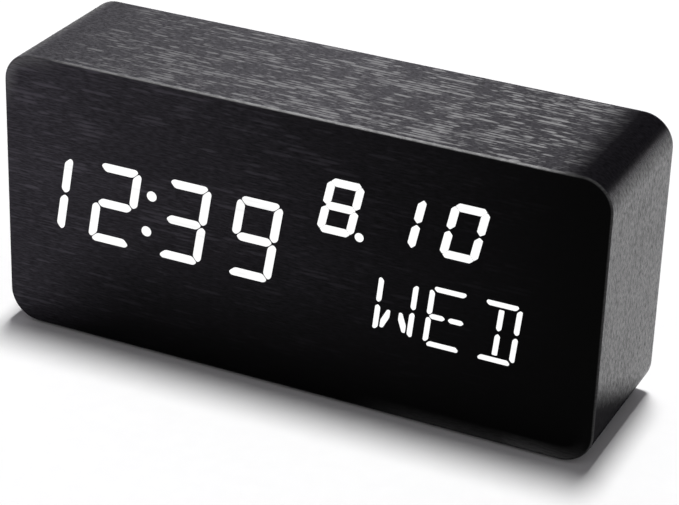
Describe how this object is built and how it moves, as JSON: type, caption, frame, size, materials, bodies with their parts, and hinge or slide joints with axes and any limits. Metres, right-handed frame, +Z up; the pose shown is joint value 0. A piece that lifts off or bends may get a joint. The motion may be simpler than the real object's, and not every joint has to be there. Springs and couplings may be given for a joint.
{
  "type": "digital alarm clock",
  "caption": "Free-standing digital alarm clock: black wood-veneered block with rounded corners, white digits that shine through its front, rear buttons and a battery bay.",
  "frame": {"origin": "middle of the clock's footprint, on the surface that its pads stand on", "axes": "+X along the width, to the right of someone facing the display; +Y from the display to the rear; +Z up"},
  "size_m": [0.15, 0.04, 0.07],
  "materials": {
    "fibreboard": "black-stained fibreboard",
    "black_veneer": "black wood-grain veneer, satin",
    "front_veneer": "thin black wood-grain veneer that light shines through",
    "pale_wood": "sawn softwood",
    "foam": "soft black foam",
    "film": "milky film",
    "white_plastic": "matt white moulding",
    "lit_guide": "milky resin, lit",
    "dark_guide": "milky resin, unlit",
    "circuit_board": "green solder mask",
    "diode": "yellowish clear resin",
    "bright_screw": "zinc plated",
    "chip": "matt black moulding",
    "nickel": "nickel plated",
    "cover_plastic": "fine-textured black moulding",
    "dark_screw": "black zinc plated",
    "button_plastic": "satin black moulding",
    "plunger_plastic": "matt red moulding",
    "inlet_plastic": "black moulding",
    "brass": "turned brass",
    "rubber": "soft rubber",
    "capacitor": "dark blue sleeve",
    "ribbon": "grey ribbon insulation",
    "black_wire": "black insulation",
    "red_wire": "red insulation"
  },
  "bodies": {
    "clock": {"case_block": "fibreboard", "wrap_veneer": "black_veneer", "front_veneer": "front_veneer", "corner_blocks": "pale_wood", "foot_pads": "foam", "diffuser_film": "film", "segment_reflector": "white_plastic", "time_guides": "lit_guide", "date_guides": "lit_guide", "weekday_guides": "lit_guide", "dark_guides": "dark_guide", "module_tape": "foam", "display_board": "circuit_board", "display_leds": "diode", "display_screws": "bright_screw", "controller_chip": "chip", "driver_chips": "chip", "chip_legs": "nickel", "timing_crystal": "nickel", "resistors": "chip", "rear_cover": "cover_plastic", "cover_screws": "dark_screw", "contact_plates": "nickel", "battery_springs": "nickel", "push_switches": "chip", "control_board": "circuit_board", "control_screws": "bright_screw", "power_inlet": "inlet_plastic", "inlet_pin": "brass", "buzzer": "chip", "mic_boot": "rubber", "microphone": "nickel", "cell_cup": "inlet_plastic", "coin_cell": "nickel", "cell_clip": "nickel", "capacitor": "capacitor", "ribbon_plugs": "white_plastic", "board_ribbon": "ribbon", "negative_lead": "black_wire", "positive_lead": "red_wire"},
    "set_key": {"set_button": "button_plastic", "set_plunger": "plunger_plastic"},
    "up_key": {"up_button": "button_plastic", "up_plunger": "plunger_plastic"},
    "down_key": {"down_button": "button_plastic", "down_plunger": "plunger_plastic"},
    "door": {"battery_door": "cover_plastic"}
  },
  "joints": [
    {"name": "set_press", "type": "slide", "parent": "clock", "child": "set_key", "axis": [0, -1, 0], "range_m": [0, 0.0005], "stiffness_N_per_m": 400},
    {"name": "up_press", "type": "slide", "parent": "clock", "child": "up_key", "axis": [0, -1, 0], "range_m": [0, 0.0005], "stiffness_N_per_m": 400},
    {"name": "down_press", "type": "slide", "parent": "clock", "child": "down_key", "axis": [0, -1, 0], "range_m": [0, 0.0005], "stiffness_N_per_m": 400},
    {"name": "door_swing", "type": "hinge", "parent": "clock", "child": "door", "pos_m": [-0.0303, 0.0173, 0.01725], "axis": [-1, 0, 0], "range_deg": [0, 90]}
  ]
}
